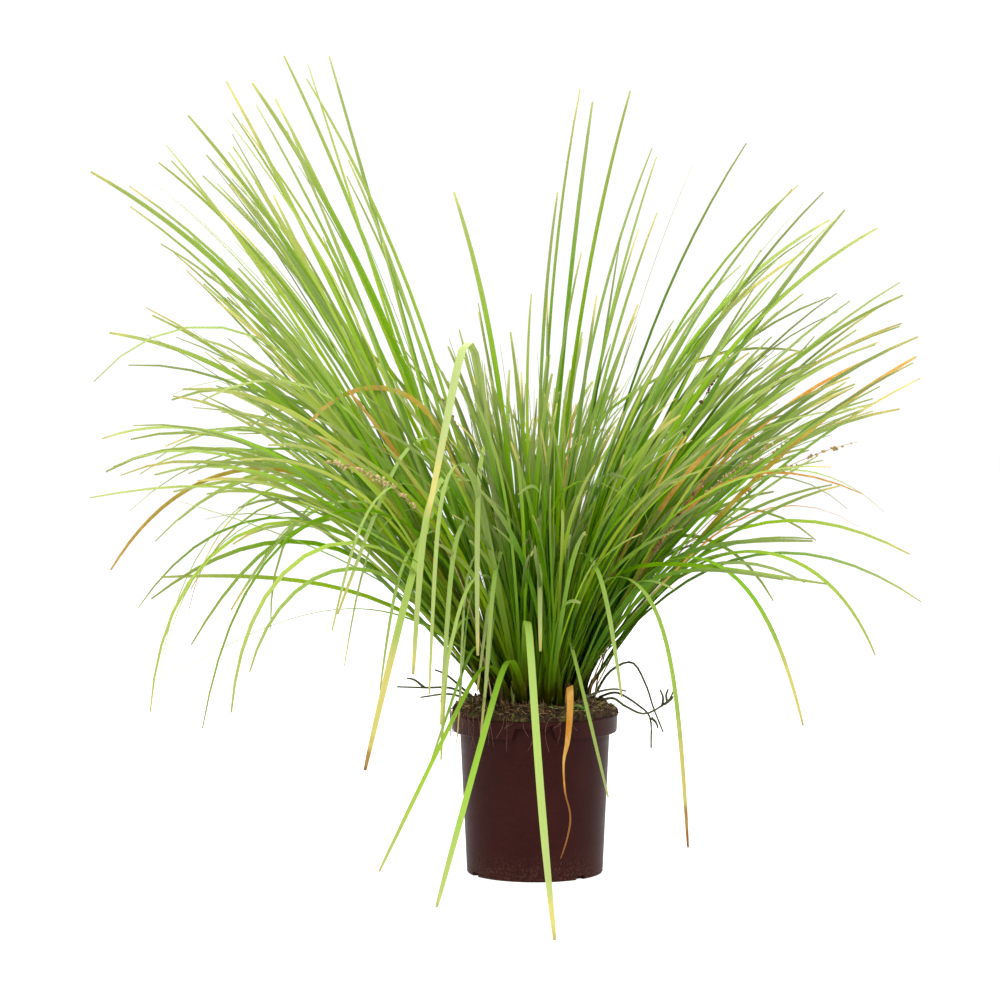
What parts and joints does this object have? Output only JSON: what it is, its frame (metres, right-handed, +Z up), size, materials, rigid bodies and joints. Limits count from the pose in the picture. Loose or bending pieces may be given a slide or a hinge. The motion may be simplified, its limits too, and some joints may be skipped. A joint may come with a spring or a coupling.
{
  "type": "potted ornamental grass clump",
  "caption": "Free-standing nursery pot holding a fountain-shaped clump of long strap-leaved ornamental grass with drooping outer blades and dried flower spikes.",
  "frame": {"origin": "centre of the pot's underside, on the surface that it stands on", "axes": "+Z up along the pot's axis; -Y is the front, the side that the label recess and the longest hanging leaves face; +X to the right seen from the front"},
  "size_m": [0.8321, 0.7393, 0.8296],
  "materials": {
    "pot_plastic": "satin moulded plastic, dark burgundy brown",
    "potting_mix": "matt fibrous peat and bark with moss",
    "leaf": "satin, finely ribbed green strap leaf, sheath dark at the foot and yellow at the tip",
    "dry_leaf": "matt, dry orange to brown leaf",
    "dry_flower": "matt dried straw-brown flower heads on thin stalks",
    "wiry_stem": "matt dark wiry stem"
  },
  "bodies": {
    "root": {"dry_blade": "dry_leaf", "flower_spike_1": "dry_flower", "flower_spike_2": "dry_flower", "flower_spike_3": "dry_flower", "flower_spike_4": "dry_flower", "long_leaf_01": "leaf", "long_leaf_02": "leaf", "long_leaf_03": "leaf", "long_leaf_04": "leaf", "long_leaf_05": "leaf", "long_leaf_06": "leaf", "long_leaf_07": "leaf", "long_leaf_08": "leaf", "long_leaf_09": "leaf", "long_leaf_10": "leaf", "long_leaf_11": "leaf", "long_leaf_12": "leaf", "long_leaf_13": "leaf", "long_leaf_14": "leaf", "long_leaf_15": "leaf", "long_leaf_16": "leaf", "long_leaf_17": "leaf", "long_leaf_18": "leaf", "long_leaf_19": "leaf", "long_leaf_20": "leaf", "long_leaf_21": "leaf", "long_leaf_22": "leaf", "long_leaf_23": "leaf", "long_leaf_24": "leaf", "long_leaf_25": "leaf", "long_leaf_26": "leaf", "long_leaf_27": "leaf", "long_leaf_28": "leaf", "long_leaf_29": "leaf", "pot": "pot_plastic", "potting_mix": "potting_mix", "shoot_01": "leaf", "shoot_02": "leaf", "shoot_03": "leaf", "shoot_04": "leaf", "shoot_05": "leaf", "shoot_06": "leaf", "shoot_07": "leaf", "shoot_08": "leaf", "shoot_09": "leaf", "shoot_10": "leaf", "shoot_11": "leaf", "shoot_12": "leaf", "shoot_13": "leaf", "shoot_14": "leaf", "shoot_15": "leaf", "shoot_16": "leaf", "shoot_17": "leaf", "shoot_18": "leaf", "shoot_19": "leaf", "shoot_20": "leaf", "shoot_21": "leaf", "wiry_stem_1": "wiry_stem", "wiry_stem_2": "wiry_stem"}
  },
  "joints": []
}
